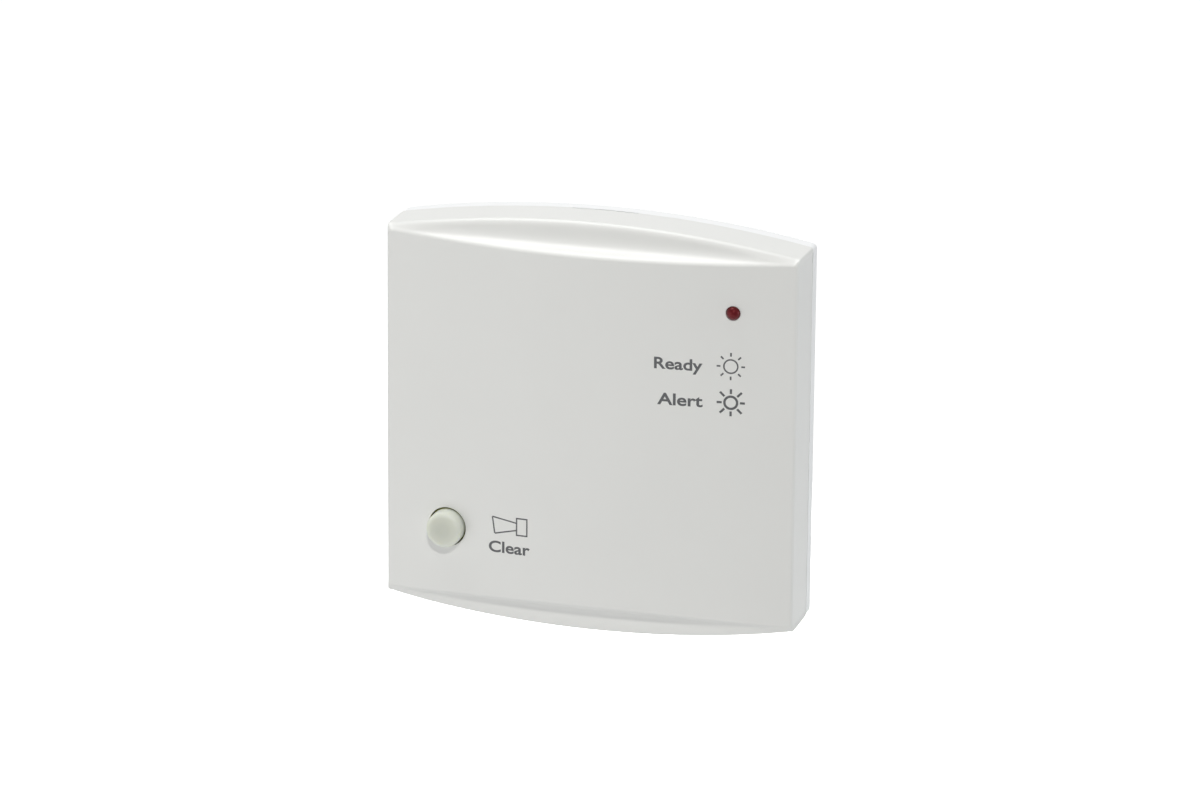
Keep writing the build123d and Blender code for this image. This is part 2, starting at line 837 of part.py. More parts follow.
def capacitor_cans():
    """Aluminium cans of the two smoothing capacitors."""
    cans = []
    for y in can_places():
        can = disc(can_x, y, board_top + can_base_height, can_radius, can_height)
        cans.append(chamfer(can.edges().sort_by(Axis.Z)[-1], can_bevel))
    return cans


def capacitor_bases():
    """Square seats of the two capacitors, with two corners cut."""
    seats = []
    for y in can_places():
        seat = block(can_x, y, board_top, can_base, can_base, can_base_height)
        corners = seat.edges().filter_by(Axis.Z).sort_by(Axis.Y)[-2:]
        seats.append(chamfer(corners, can_base_bevel))
    return seats


def chip_body(x, y, length, body_width, height):
    """Moulded body of a surface mounted part, with its upper edges bevelled."""
    body = block(x, y, board_top + body_stand, length, body_width, height - body_stand)
    return chamfer(body.edges().group_by(Axis.Z)[-1], body_bevel)


def gull_leg(x, y, side, leg_width, height):
    """Bent leg that leaves a chip's side at mid height and stands on the board."""
    middle = board_top + height / 2
    shoulder = leg_reach - leg_foot
    knee = y + side * (shoulder - leg_thick / 2)
    upper = block(x, y + side * shoulder / 2, middle - leg_thick / 2, leg_width, shoulder, leg_thick)
    drop = block(x, knee, board_top, leg_width, leg_thick, middle + leg_thick / 2 - board_top)
    foot = block(x, y + side * (leg_reach - leg_foot / 2), board_top, leg_width, leg_foot, leg_thick)
    return upper + drop + foot


def leg_rows(x, y, body_width, height, leg_width, offsets, sides):
    """Legs along the long sides of a chip, each touching the body's side."""
    legs = []
    for side in sides:
        for offset in offsets:
            legs.append(gull_leg(x + offset, y + side * body_width / 2, side, leg_width, height))
    return legs


def controller_chip():
    """Controller in a 14-leg case."""
    return chip_body(controller_x, controller_y, controller_length, controller_width, controller_height)


def controller_legs():
    """Fourteen legs of the controller."""
    offsets = centred(controller_pairs, controller_pitch)
    return leg_rows(controller_x, controller_y, controller_width, controller_height,
                    controller_leg, offsets, (-1, 1))


def voltage_regulator():
    """Regulator's body."""
    return chip_body(regulator_x, regulator_y, regulator_length, regulator_width, regulator_height)


def regulator_legs():
    """Three legs and the wide tab of the regulator."""
    legs = leg_rows(regulator_x, regulator_y, regulator_width, regulator_height,
                    regulator_leg, centred(3, regulator_pitch), (-1,))
    tab = leg_rows(regulator_x, regulator_y, regulator_width, regulator_height,
                   regulator_tab, [0], (1,))
    return legs + tab


def bridge_rectifier():
    """Bridge rectifier's body."""
    return chip_body(rectifier_x, rectifier_y, rectifier_length, rectifier_width, rectifier_height)


def rectifier_legs():
    """Four legs of the bridge rectifier."""
    offsets = centred(2, rectifier_pitch)
    return leg_rows(rectifier_x, rectifier_y, rectifier_width, rectifier_height,
                    rectifier_leg, offsets, (-1, 1))


def driver_transistor():
    """Body of the transistor that drives the relay."""
    return chip_body(transistor_x, transistor_y, transistor_length, transistor_width, transistor_height)


def transistor_legs():
    """Three legs of the transistor."""
    lower = leg_rows(transistor_x, transistor_y, transistor_width, transistor_height,
                     transistor_leg, centred(2, transistor_pitch), (-1,))
    upper = leg_rows(transistor_x, transistor_y, transistor_width, transistor_height,
                     transistor_leg, [0], (1,))
    return lower + upper


def relay_diode():
    """Diode across the relay's coil, flat on the board."""
    body = block(diode_x, diode_y, board_top, diode_length, diode_width, diode_height)
    return chamfer(body.edges().group_by(Axis.Z)[-1], body_bevel)


def chip_resistors():
    """Chip resistors, flat on the board."""
    size = (resistor_length, resistor_width, resistor_height)
    return [block(x, y, board_top, *size) for x, y in resistor_places]


def chip_capacitors():
    """Ceramic chip capacitors, flat on the board."""
    size = (ceramic_length, ceramic_width, ceramic_height)
    return [block(x, y, board_top, *size) for x, y in ceramic_places]


def write(name, shape):
    """Stand a piece, or a group of like pieces, against the wall and write it."""
    if isinstance(shape, list):
        shape = Compound(children=[Rot(X=90) * piece for piece in shape])
    else:
        shape = Rot(X=90) * shape
    export_step(shape, f"parts/{name}.step")


write("front_cover", front_cover())
write("base_plate", base_plate())
write("circuit_board", circuit_board())
write("board_screws", board_screws())
write("lamp_lens", lamp_lens())
write("lamp_spacer", lamp_spacer())
write("lamp_leads", lamp_leads())
write("reset_cap", reset_cap())
write("switch_body", switch_body())
write("switch_cover", switch_cover())
write("switch_plunger", switch_plunger())
write("contact_washer", contact_washer())
write("return_spring", return_spring())
write("switch_contacts", switch_contacts())
write("sounder_case", sounder_case())
write("sounder_disc", sounder_disc())
write("sounder_plug", sounder_plug())
write("sounder_pins", sounder_pins())
write("output_relay", output_relay())
write("relay_pins", relay_pins())
for block_name, (block_x, block_count) in zip(("supply", "relay", "sensor"), terminal_blocks()):
    write(f"{block_name}_terminal_block", terminal_block(block_x, block_count))
write("terminal_clamps", terminal_clamps())
write("terminal_screws", terminal_screws())
write("terminal_pins", terminal_pins())
write("capacitor_cans", capacitor_cans())
write("capacitor_bases", capacitor_bases())
write("controller_chip", controller_chip())
write("controller_legs", controller_legs())
write("voltage_regulator", voltage_regulator())
write("regulator_legs", regulator_legs())
write("bridge_rectifier", bridge_rectifier())
write("rectifier_legs", rectifier_legs())
write("driver_transistor", driver_transistor())
write("transistor_legs", transistor_legs())
write("relay_diode", relay_diode())
write("chip_resistors", chip_resistors())
write("chip_capacitors", chip_capacitors())
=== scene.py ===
import math

import bmesh
import bpy
import numpy as np
from mathutils import Matrix, Vector


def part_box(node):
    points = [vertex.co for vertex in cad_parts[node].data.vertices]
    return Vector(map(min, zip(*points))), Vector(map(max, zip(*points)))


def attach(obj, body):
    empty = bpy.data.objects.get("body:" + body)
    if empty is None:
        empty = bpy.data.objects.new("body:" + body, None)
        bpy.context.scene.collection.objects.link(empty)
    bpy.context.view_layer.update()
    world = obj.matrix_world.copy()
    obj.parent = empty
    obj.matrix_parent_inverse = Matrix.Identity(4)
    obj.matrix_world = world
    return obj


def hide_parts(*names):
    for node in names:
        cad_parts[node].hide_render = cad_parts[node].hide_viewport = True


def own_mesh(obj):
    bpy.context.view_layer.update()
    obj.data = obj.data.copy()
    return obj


# The finished look of a wall-mounted water leak detector, built round its CAD frame.
# Sizes are millimetres. Shapes are worked out with the unit lying on its back: x to the right,
# y up the wall, z out of the wall. The function stand() turns them into the frame's metres.

# Housing
HALF_WIDTH = 43.2           # at the front; the sides lean out by TAPER towards the wall
TAPER = 0.3
SIDE_HALF = 39.2            # half the length of a straight side
EDGE_RISE = 4.1             # bow of the top and bottom edges
CORNER_ROUND = 1.0          # corners of the outline, measured across the unit
RIM = 13.5                  # depth of the flat rim over and under the face
BULGE = 3.8                 # bow of the face over the rim
REAR = 3.14                 # rear edge of the cover
WALL = 2.0
SIDE_ROUND = 0.6
RIDGE_ROUND = 1.6
LOWER_RIDGE_ROUND = 0.55    # the lower edge is crisper than the upper one
REAR_ROUND = 0.04
RELEASE_ROUND = REAR_ROUND / 6
FRONT_SQUARENESS = 5.0      # exponent of a corner's plan at the rim
REAR_SQUARENESS = 2.6       # and at the rear edge
SLOPE = 0.36                # run of a scoop's slope for each millimetre of depth
FOOT = 0.45                 # foot of the slope inside the side's end
HOLLOW_MIDDLE = 3.5         # hollow round at the foot of the slope
HOLLOW_END = 0.9
CREASE = 0.7                # softness of the edge between the face and a scoop
RELEASE_HALF = 6.9          # slot in the rear edge of the top
RELEASE_HEIGHT = 0.36

# Lamp and button
LAMP = (30.36, 27.73)
LAMP_RADIUS = 1.5
LAMP_HOLE = 1.503
LAMP_HOLE_ROUND = 0.02
LAMP_STAND_OUT = 1.1
LAMP_HEIGHT = 5.3
LAMP_FLANGE_RADIUS = 1.9
LAMP_FLANGE_HEIGHT = 0.9
LAMP_FLANGE_ROUND = 0.1
BUTTON = (-29.6, -23.39)
BUTTON_RADIUS = 3.75
BUTTON_HOLE = 4.08
BUTTON_HOLE_ROUND = 0.12
BUTTON_STAND_OUT = 3.0
BUTTON_ROUND = 0.9
BUTTON_DISH = 0.22          # hollow in the middle of the cap's top
COLLAR_RADIUS = 5.28
COLLAR_REACH = 0.8
FLANGE_GAP = 0.3
FLANGE_REACH = 1.25
FLANGE_HEIGHT = 0.8
FLANGE_ROUND = 0.15
SOCKET_RADIUS = 2.6
SOCKET_DEPTH = 3.2
SPRING_RADIUS = 2.0         # middle of the wire of the spring behind the button
SPRING_WIRE = 0.35
SPRING_TURNS = 2

FACE_RADIUS = ((HALF_WIDTH + TAPER) ** 2 + BULGE ** 2) / (2 * BULGE)
EDGE_RADIUS = ((HALF_WIDTH + TAPER) ** 2 + EDGE_RISE ** 2) / (2 * EDGE_RISE)
EDGE_CENTRE = SIDE_HALF + EDGE_RISE - EDGE_RADIUS


def stand(points):
    """Points of the lying unit in millimetres, stood against the wall in metres."""
    x, y, z = np.asarray(points, float).reshape(-1, 3).T
    return np.column_stack([x, -z, y]) / 1000.0


def face_depth(x):
    """Height of the bowed face: a circle's arc across the unit, with its crown in the middle."""
    return RIM + BULGE - FACE_RADIUS + np.sqrt(FACE_RADIUS ** 2 - np.asarray(x, float) ** 2)


def hollow_radius(x):
    """Hollow round at the foot of a scoop: largest in the middle, falling off as a parabola."""
    share = np.clip(np.abs(x) / HALF_WIDTH, 0, 1) ** 2
    return HOLLOW_MIDDLE + (HOLLOW_END - HOLLOW_MIDDLE) * share


def scoop_depth(x, y):
    """Height of a scoop over the plan: flat rim, a quarter-like hollow arc, then a steep slope."""
    lean = math.atan(SLOPE)
    radius = hollow_radius(x)
    centre_y = SIDE_HALF - FOOT + radius * (1 - math.sin(lean)) / math.cos(lean)
    centre_z = RIM + radius
    inside = centre_y - np.abs(y)
    arc_end = radius * math.cos(lean)
    bounded = np.clip(inside, 0, arc_end)
    arc = centre_z - np.sqrt(radius ** 2 - bounded ** 2)
    return np.where(inside > arc_end, arc + (inside - arc_end) / SLOPE, arc)


def lower_of(a, b, softness):
    """Lower of two heights, with the edge between them rounded by a quadratic blend."""
    gap = np.clip(1 - np.abs(a - b) / softness, 0, 1)
    return np.minimum(a, b) - gap ** 2 * softness / 4


def cover_depth(x, y):
    """Height of the cover over the plan, before its outer edges are rounded."""
    return lower_of(face_depth(x), scoop_depth(x, y), CREASE / SLOPE)


def edge_line(x, inset):
    """Upper edge of the outline, drawn in by a distance: an arc of a large circle."""
    return EDGE_CENTRE + np.sqrt((EDGE_RADIUS - inset) ** 2 - np.asarray(x, float) ** 2)


# Mesh of the cover. Square blocks of its grid hold the two round holes: middle, half size, cells
BUTTON_BLOCK = (BUTTON, 6.0, 16)
LAMP_BLOCK = (LAMP, 2.5, 10)
PITCH = 0.8                 # distance between the grid's lines
FIXED_X = 38.0              # the grid's lines are straight up to here, and follow the edges outside
FIXED_Y = 33.0
RELEASE_EASE = 0.05         # half the run of the mesh at each end of the slot
SIDE_CELLS = 8              # beyond FIXED_X
EDGE_CELLS = 56             # beyond FIXED_Y
CORNER_CELLS = 10           # round a corner of the outline
HOLE_CELLS = 8              # from a block's boundary to its hole
RIDGE_CELLS = 12            # across the round between the front and the wall
WALL_CELLS = 8              # down the wall
ROUND_CELLS = 4             # across the small rounds of the rear edge and the holes

# Mesh of the turned and coiled pieces, and of the rings in the printed signs
CAP_SEGMENTS = 96
LENS_SEGMENTS = 64
COIL_SEGMENTS = 48          # of one turn of the spring
WIRE_SEGMENTS = 16
RING_SEGMENTS = 64
SHARP_TURN = 32             # edges that turn by more degrees are shaded sharp
SHARP_LETTER_TURN = 30


def steps(breaks):
    """Lines that pass through each break, about one pitch apart."""
    line = [np.array([breaks[0]])]
    for a, b in zip(breaks[:-1], breaks[1:]):
        count = max(1, int(round((b - a) / PITCH)))
        line.append(np.linspace(a, b, count + 1)[1:])
    return np.concatenate(line)


def plan_lines():
    """Straight lines of the plan's grid inside the fixed area, through the blocks' sides."""
    (bx, by), b_half, b_cells = BUTTON_BLOCK
    (lx, ly), l_half, l_cells = LAMP_BLOCK
    x_parts = [steps([-FIXED_X, bx - b_half]),
               np.linspace(bx - b_half, bx + b_half, b_cells + 1),
               steps([bx + b_half, -RELEASE_HALF - RELEASE_EASE, -RELEASE_HALF + RELEASE_EASE,
                      RELEASE_HALF - RELEASE_EASE, RELEASE_HALF + RELEASE_EASE, lx - l_half]),
               np.linspace(lx - l_half, lx + l_half, l_cells + 1),
               steps([lx + l_half, FIXED_X])]
    y_parts = [steps([-FIXED_Y, by - b_half]),
               np.linspace(by - b_half, by + b_half, b_cells + 1),
               steps([by + b_half, ly - l_half]),
               np.linspace(ly - l_half, ly + l_half, l_cells + 1),
               steps([ly + l_half, FIXED_Y])]
    joined = []
    for parts in (x_parts, y_parts):
        line = np.concatenate([parts[0]] + [part[1:] for part in parts[1:]])
        joined.append(line)
    return joined


def plan_grid(inset, edge_inset):
    """Grid over the plan inside the outline, drawn in by one distance at the sides and another
    at the bowed edges.

    The lines are straight in the middle. Outside it they are spread evenly up to the straight
    sides and up to the bowed edges, so that the outer rows run along the outline.
    """
    x_fixed, y_fixed = plan_lines()
    half = HALF_WIDTH - inset
    spread = np.linspace(0, 1, SIDE_CELLS + 1)[1:]
    x_line = np.concatenate([-(FIXED_X + spread[::-1] * (half - FIXED_X)), x_fixed,
                             FIXED_X + spread * (half - FIXED_X)])
    top = edge_line(x_line, edge_inset)
    rows = np.linspace(0, 1, EDGE_CELLS + 1)[1:]
    upper = FIXED_Y + rows[None, :] * (top[:, None] - FIXED_Y)
    middle = np.broadcast_to(y_fixed, (len(x_line), len(y_fixed)))
    y_grid = np.concatenate([-upper[:, ::-1], middle, upper], axis=1)
    x_grid = np.broadcast_to(x_line[:, None], y_grid.shape)
    return x_grid.copy(), y_grid.copy()


def grid_quads(index, keep=None):
    """Four-sided faces between neighbouring points of an index grid."""
    a, b = index[:-1, :-1], index[1:, :-1]
    c, d = index[1:, 1:], index[:-1, 1:]
    quads = np.stack([a, b, c, d], axis=-1)
    if keep is not None:
        return quads[keep]
    return quads.reshape(-1, 4)


class Shell:
    """Points and faces of one mesh, gathered as whole arrays."""

    def __init__(self):
        self.points = []
        self.faces = []
        self.count = 0

    def add_points(self, points):
        """Adds points, and gives their numbers in the shape of the grid that they came in."""
        flat = np.asarray(points, float)
        shape = flat.shape[:-1]
        flat = flat.reshape(-1, 3)
        numbers = np.arange(self.count, self.count + len(flat)).reshape(shape)
        self.points.append(flat)
        self.count += len(flat)
        return numbers

    def add_quads(self, quads):
        """Adds faces given as rows of four point numbers."""
        self.faces.append(np.asarray(quads).reshape(-1, 4))

    def join_loops(self, lower, upper):
        """Strip of faces between two closed loops of equal length."""
        quads = np.stack([lower, np.roll(lower, -1), np.roll(upper, -1), upper], axis=-1)
        self.add_quads(quads)


def block_range(line, middle, half):
    """First and last grid line of a block."""
    first = int(np.argmin(np.abs(line - (middle - half))))
    last = int(np.argmin(np.abs(line - (middle + half))))
    return first, last


def block_loop(index, x_range, y_range):
    """Point numbers round a block's boundary, anticlockwise from its lower left corner."""
    (i, j), (k, m) = x_range, y_range
    bottom = index[i:j, k]
    right = index[j, k:m]
    top = index[j:i:-1, m]
    left = index[i, m:k:-1]
    return np.concatenate([bottom, right, top, left])


def boundary_loop(index):
    """Point numbers round the whole grid, anticlockwise, each corner once."""
    last_x, last_y = index.shape[0] - 1, index.shape[1] - 1
    return block_loop(index, (0, last_x), (0, last_y))


def hole_rings(shell, loop, loop_xy, centre, radius, drop):
    """Rings that turn a square boundary into a circle, each point moving straight to its place.

    Their height is the cover's, less a drop.
    """
    start = loop_xy - np.array(centre)
    angle = np.arctan2(start[:, 1], start[:, 0])
    circle = radius * np.column_stack([np.cos(angle), np.sin(angle)])
    previous = loop
    for share in np.linspace(0, 1, HOLE_CELLS + 1)[1:]:
        xy = start + (circle - start) * share + np.array(centre)
        z = cover_depth(xy[:, 0], xy[:, 1]) - drop
        ring = shell.add_points(np.column_stack([xy, z]))
        shell.join_loops(previous, ring)
        previous = ring
    return previous, angle


def circle_ring(shell, centre, radius, angle, z):
    """Ring of points on a circle at given angles and heights."""
    x = centre[0] + radius * np.cos(angle)
    y = centre[1] + radius * np.sin(angle)
    return shell.add_points(np.column_stack([x, y, np.broadcast_to(z, x.shape)]))


def cap_surface(shell, inset, edge_inset, drop, hole_radii):
    """Height surface of the cover over its plan, less a drop, with the two holes left open.

    Returns the boundary loop with its coordinates, and each hole's loop with its angles.
    """
    x, y = plan_grid(inset, edge_inset)
    z = cover_depth(x, y) - drop
    index = shell.add_points(np.stack([x, y, z], axis=-1))
    keep = np.ones((x.shape[0] - 1, x.shape[1] - 1), bool)
    holes = []
    for (middle, half, _), radius in zip((BUTTON_BLOCK, LAMP_BLOCK), hole_radii):
        x_range = block_range(x[:, 0], middle[0], half)
        y_range = block_range(y[x_range[0]], middle[1], half)
        keep[x_range[0]:x_range[1], y_range[0]:y_range[1]] = False
        loop = block_loop(index, x_range, y_range)
        loop_xy = np.stack([x, y], axis=-1).reshape(-1, 2)[loop - index[0, 0]]
        holes.append(hole_rings(shell, loop, loop_xy, middle, radius, drop))
    shell.add_quads(grid_quads(index, keep))
    loop = boundary_loop(index)
    loop_xyz = np.stack([x, y, z], axis=-1).reshape(-1, 3)[loop - index[0, 0]]
    return loop, loop_xyz, holes


def edge_fans(loop_xyz, inset, edge_inset):
    """Start points, two outward directions and the turn between them for an outline's points.

    A point of a straight side moves straight out, a point of a bowed edge moves away from the
    edge's centre of curvature, and each corner is repeated as a fan whose turn runs from zero
    at the side to a quarter turn at the edge.
    """
    x, y = loop_xyz[:, 0], loop_xyz[:, 1]
    on_side = np.abs(np.abs(x) - (HALF_WIDTH - inset)) < 1e-6
    on_edge = np.abs(np.abs(y) - edge_line(x, edge_inset)) < 1e-6
    copies = np.where(on_side & on_edge, CORNER_CELLS + 1, 1)
    start = np.repeat(loop_xyz, copies, axis=0)
    first = np.repeat(np.cumsum(copies) - copies, copies)
    share = (np.arange(len(start)) - first) / CORNER_CELLS
    x, y = start[:, 0], start[:, 1]
    share = np.where(x * y > 0, share, 1 - share)
    share = np.where(np.repeat(copies, copies) > 1, share, np.repeat(on_edge, copies))
    side_out = np.column_stack([np.sign(x), 0 * x])
    radial = np.column_stack([x, y - np.sign(y) * EDGE_CENTRE])
    edge_out = radial / np.linalg.norm(radial, axis=1, keepdims=True)
    return start, side_out, edge_out, share * math.pi / 2, copies


def outline_points(fans, inset, edge_inset, squareness):
    """Points of the outline from its fans.

    Each corner is a superellipse whose half axes are the two insets. Its exponent is 2 for a
    plain ellipse and larger for a squarer corner.
    """
    start, side_out, edge_out, turn, _ = fans
    power = 2 / squareness
    across = inset * np.clip(np.cos(turn), 0, 1) ** power
    along = edge_inset * np.clip(np.sin(turn), 0, 1) ** power
    across = np.where(turn > math.pi / 2 - 1e-9, 0, across)
    return start[:, :2] + side_out * across[:, None] + edge_out * along[:, None]


def fan_outward(fans):
    """Unit directions that point out of the outline, turning evenly round each corner."""
    _, side_out, edge_out, turn, _ = fans
    outward = side_out * np.cos(turn)[:, None] + edge_out * np.sin(turn)[:, None]
    return outward / np.linalg.norm(outward, axis=1, keepdims=True)


def lean_out(points):
    """Lets the sides lean out towards the wall: x grows evenly as the depth falls."""
    grown = points.copy()
    grown[:, 0] *= 1 + TAPER / HALF_WIDTH * np.clip(1 - points[:, 2] / RIM, 0, 1)
    return grown


def cover_wall(shell, loop, loop_xyz):
    """Rounded outer edges, outer wall and rear edge, ring after ring.

    The rounds are quarter circles. Their radius is the ridge's on bowed edges, smaller on the
    lower one, and the side's on sides, with an even change round the corners. Down the wall
    each corner turns from a squarish superellipse into a rounder one.
    """
    fans = edge_fans(loop_xyz, CORNER_ROUND, RIDGE_ROUND)
    copies = fans[4]
    outward = fan_outward(fans)
    rim = outline_points(fans, CORNER_ROUND, RIDGE_ROUND, FRONT_SQUARENESS)
    ridge = np.where(rim[:, 1] > 0, RIDGE_ROUND, LOWER_RIDGE_ROUND)
    radius = SIDE_ROUND + (ridge - SIDE_ROUND) * fans[3] / (math.pi / 2)
    previous = np.repeat(loop, copies)
    for turn in np.linspace(0, math.pi / 2, RIDGE_CELLS + 1):
        xy = rim - outward * (radius * (1 - math.sin(turn)))[:, None]
        z = cover_depth(xy[:, 0], xy[:, 1]) - radius * (1 - math.cos(turn))
        ring = shell.add_points(np.column_stack([xy, z]))
        shell.join_loops(previous, ring)
        previous = ring
    slot = (np.abs(xy[:, 0]) < RELEASE_HALF) & (xy[:, 1] > 0)
    low = np.where(slot, REAR + RELEASE_HEIGHT, REAR)
    small = np.where(slot, RELEASE_ROUND, REAR_ROUND)
    for share in np.linspace(0, 1, WALL_CELLS + 1)[1:]:
        squareness = FRONT_SQUARENESS + (REAR_SQUARENESS - FRONT_SQUARENESS) * share
        xy = outline_points(fans, CORNER_ROUND, RIDGE_ROUND, squareness)
        wall_z = z + (low + small - z) * share
        ring = shell.add_points(lean_out(np.column_stack([xy, wall_z])))
        shell.join_loops(previous, ring)
        previous = ring
    for turn in np.linspace(0, math.pi / 2, ROUND_CELLS + 1)[1:]:
        inward = small * (1 - math.cos(turn))
        place = xy - outward * inward[:, None]
        rear_z = low + small * (1 - math.sin(turn))
        ring = shell.add_points(lean_out(np.column_stack([place, rear_z])))
        shell.join_loops(previous, ring)
        previous = ring
    return previous, low


def hole_edge(shell, hole, centre, radius, soft):
    """Rounded edge of a hole: a quarter circle carried round it."""
    loop, angle = hole
    for turn in np.linspace(0, math.pi / 2, ROUND_CELLS + 1)[1:]:
        reach = radius + soft * (1 - math.sin(turn))
        x = centre[0] + reach * np.cos(angle)
        y = centre[1] + reach * np.sin(angle)
        z = cover_depth(x, y) - soft * (1 - math.cos(turn))
        ring = shell.add_points(np.column_stack([x, y, z]))
        shell.join_loops(loop, ring)
        loop = ring
    return loop


def collar_end():
    """Level of the inner end of the collar round the button's hole."""
    return float(face_depth(BUTTON[0])) - WALL - COLLAR_REACH


def front_cover_shell():
    """The moulded cover as one closed shell: outer surface, walls, inner surface and holes."""
    shell = Shell()
    outer_radii = (BUTTON_HOLE + BUTTON_HOLE_ROUND, LAMP_HOLE + LAMP_HOLE_ROUND)
    loop, loop_xyz, outer_holes = cap_surface(shell, CORNER_ROUND, RIDGE_ROUND, 0, outer_radii)
    rear, low = cover_wall(shell, loop, loop_xyz)
    inner_radii = (COLLAR_RADIUS, LAMP_HOLE)
    loop, loop_xyz, inner_holes = cap_surface(shell, WALL, WALL, WALL, inner_radii)
    fans = edge_fans(loop_xyz, WALL, WALL)
    ring = shell.add_points(lean_out(np.column_stack([fans[0][:, :2], low])))
    shell.join_loops(rear, ring)
    shell.join_loops(ring, np.repeat(loop, fans[4]))
    edge = hole_edge(shell, outer_holes[0], BUTTON, BUTTON_HOLE, BUTTON_HOLE_ROUND)
    loop, angle = inner_holes[0]
    bore = circle_ring(shell, BUTTON, BUTTON_HOLE, angle, collar_end())
    collar = circle_ring(shell, BUTTON, COLLAR_RADIUS, angle, collar_end())
    shell.join_loops(edge, bore)
    shell.join_loops(bore, collar)
    shell.join_loops(collar, loop)
    edge = hole_edge(shell, outer_holes[1], LAMP, LAMP_HOLE, LAMP_HOLE_ROUND)
    shell.join_loops(edge, inner_holes[1][0])
    return shell


def lathe(profile, centre, segments):
    """Surface of revolution: a profile of radius and height carried round an upright axis.

    A radius of zero closes the surface in a pole.
    """
    shell = Shell()
    angle = np.linspace(0, 2 * math.pi, segments, endpoint=False)
    radius, height = np.asarray(profile, float).T
    x = centre[0] + radius[:, None] * np.cos(angle)
    y = centre[1] + radius[:, None] * np.sin(angle)
    z = np.broadcast_to(height[:, None], x.shape)
    index = shell.add_points(np.stack([x, y, z], axis=-1))
    index = np.concatenate([index, index[:, :1]], axis=1)
    shell.add_quads(grid_quads(index))
    return shell


def arc(middle, radius, start, end, count):
    """Points of an arc in a profile, angles in degrees from the outward direction."""
    turn = np.radians(np.linspace(start, end, count))
    return [(middle[0] + radius * math.cos(t), middle[1] + radius * math.sin(t)) for t in turn]


def reset_cap_shell():
    """Button cap: slightly dished top, rounded edge, flange behind the cover, hollow stem."""
    top = float(face_depth(BUTTON[0])) + BUTTON_STAND_OUT
    flange_low = collar_end() - FLANGE_GAP - FLANGE_HEIGHT
    flange_top = flange_low + FLANGE_HEIGHT
    socket_top = flange_low + SOCKET_DEPTH
    flat = BUTTON_RADIUS - BUTTON_ROUND
    share = np.linspace(0, 1, 9)
    dish = [(flat * t, top - BUTTON_DISH * (1 - t * t) ** 2) for t in share]
    edge = arc((flat, top - BUTTON_ROUND), BUTTON_ROUND, 90, 0, 11)[1:]
    outer = BUTTON_RADIUS + FLANGE_REACH
    soft = FLANGE_ROUND
    rest = [(BUTTON_RADIUS, flange_top), (outer - soft, flange_top), (outer, flange_top - soft),
            (outer, flange_low + soft), (outer - soft, flange_low), (SOCKET_RADIUS, flange_low),
            (SOCKET_RADIUS, socket_top), (0, socket_top)]
    return lathe(dish + edge + rest, BUTTON, CAP_SEGMENTS)


def lamp_lens_shell():
    """Signal lamp: round dome, straight body and the flange behind the cover."""
    top = float(face_depth(LAMP[0])) + LAMP_STAND_OUT
    low = top - LAMP_HEIGHT
    middle = top - LAMP_RADIUS
    dome = arc((0, middle), LAMP_RADIUS, 90, 0, 17)
    dome[0] = (0, top)
    outer = LAMP_FLANGE_RADIUS
    flange_top = low + LAMP_FLANGE_HEIGHT
    soft = LAMP_FLANGE_ROUND
    rest = [(LAMP_RADIUS, flange_top), (outer - soft, flange_top), (outer, flange_top - soft),
            (outer, low + soft), (outer - soft, low), (0, low)]
    return lathe(dome + rest, LAMP, LENS_SEGMENTS)


def return_spring_shell(low, high):
    """Coil spring between two levels: a circle carried along a helix.

    A point is the helix's point, plus the wire's radius times a turn between the direction out of
    the axis and the direction square to that and to the helix. Both ends close in a pole.
    """
    shell = Shell()
    end = 2 * math.pi * SPRING_TURNS
    turn = np.linspace(0, end, COIL_SEGMENTS * SPRING_TURNS + 1)
    turn = np.concatenate([[0], turn, [end]])[:, None]
    wire = np.full(turn.shape, SPRING_WIRE / 2)
    wire[[0, -1]] = 0
    around = np.linspace(0, 2 * math.pi, WIRE_SEGMENTS, endpoint=False)
    lead = (high - low - SPRING_WIRE) / end
    slope = math.hypot(SPRING_RADIUS, lead)
    reach = SPRING_RADIUS + wire * np.cos(around)
    swing = wire * np.sin(around)
    x = BUTTON[0] + reach * np.cos(turn) + swing * np.sin(turn) * lead / slope
    y = BUTTON[1] + reach * np.sin(turn) - swing * np.cos(turn) * lead / slope
    z = low + SPRING_WIRE / 2 + lead * turn + swing * SPRING_RADIUS / slope
    index = shell.add_points(np.stack([x, y, z], axis=-1))
    index = np.concatenate([index, index[:, :1]], axis=1)
    shell.add_quads(grid_quads(index))
    return shell


def close_mesh(mesh, reach, dissolve):
    """Merges doubles within a reach in metres, dissolves slivers if asked, turns faces outward."""
    work = bmesh.new()
    work.from_mesh(mesh)
    bmesh.ops.remove_doubles(work, verts=work.verts, dist=reach)
    if dissolve:
        bmesh.ops.dissolve_degenerate(work, edges=work.edges, dist=reach)
    bmesh.ops.recalc_face_normals(work, faces=work.faces)
    work.to_mesh(mesh)
    work.free()
    mesh.update()


def build(name, shell, material, body="unit", node=None):
    """Makes a closed mesh piece from a shell."""
    mesh = bpy.data.meshes.new(name)
    points = stand(np.concatenate(shell.points))
    faces = np.concatenate(shell.faces)
    mesh.from_pydata(points.tolist(), [], faces.tolist())
    close_mesh(mesh, 2e-7, dissolve=True)
    return place_piece(name, mesh, material, body, node, SHARP_TURN)


def place_piece(name, mesh, material, body, node, sharp_turn):
    """Puts a finished mesh in the scene, on its body, in place of its CAD node if it has one."""
    mesh.polygons.foreach_set("use_smooth", np.ones(len(mesh.polygons), bool))
    mesh.set_sharp_from_angle(angle=math.radians(sharp_turn))
    mesh.materials.append(material)
    piece = bpy.data.objects.new(name, mesh)
    bpy.context.scene.collection.objects.link(piece)
    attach(piece, body)
    if node:
        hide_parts(node)
    return piece


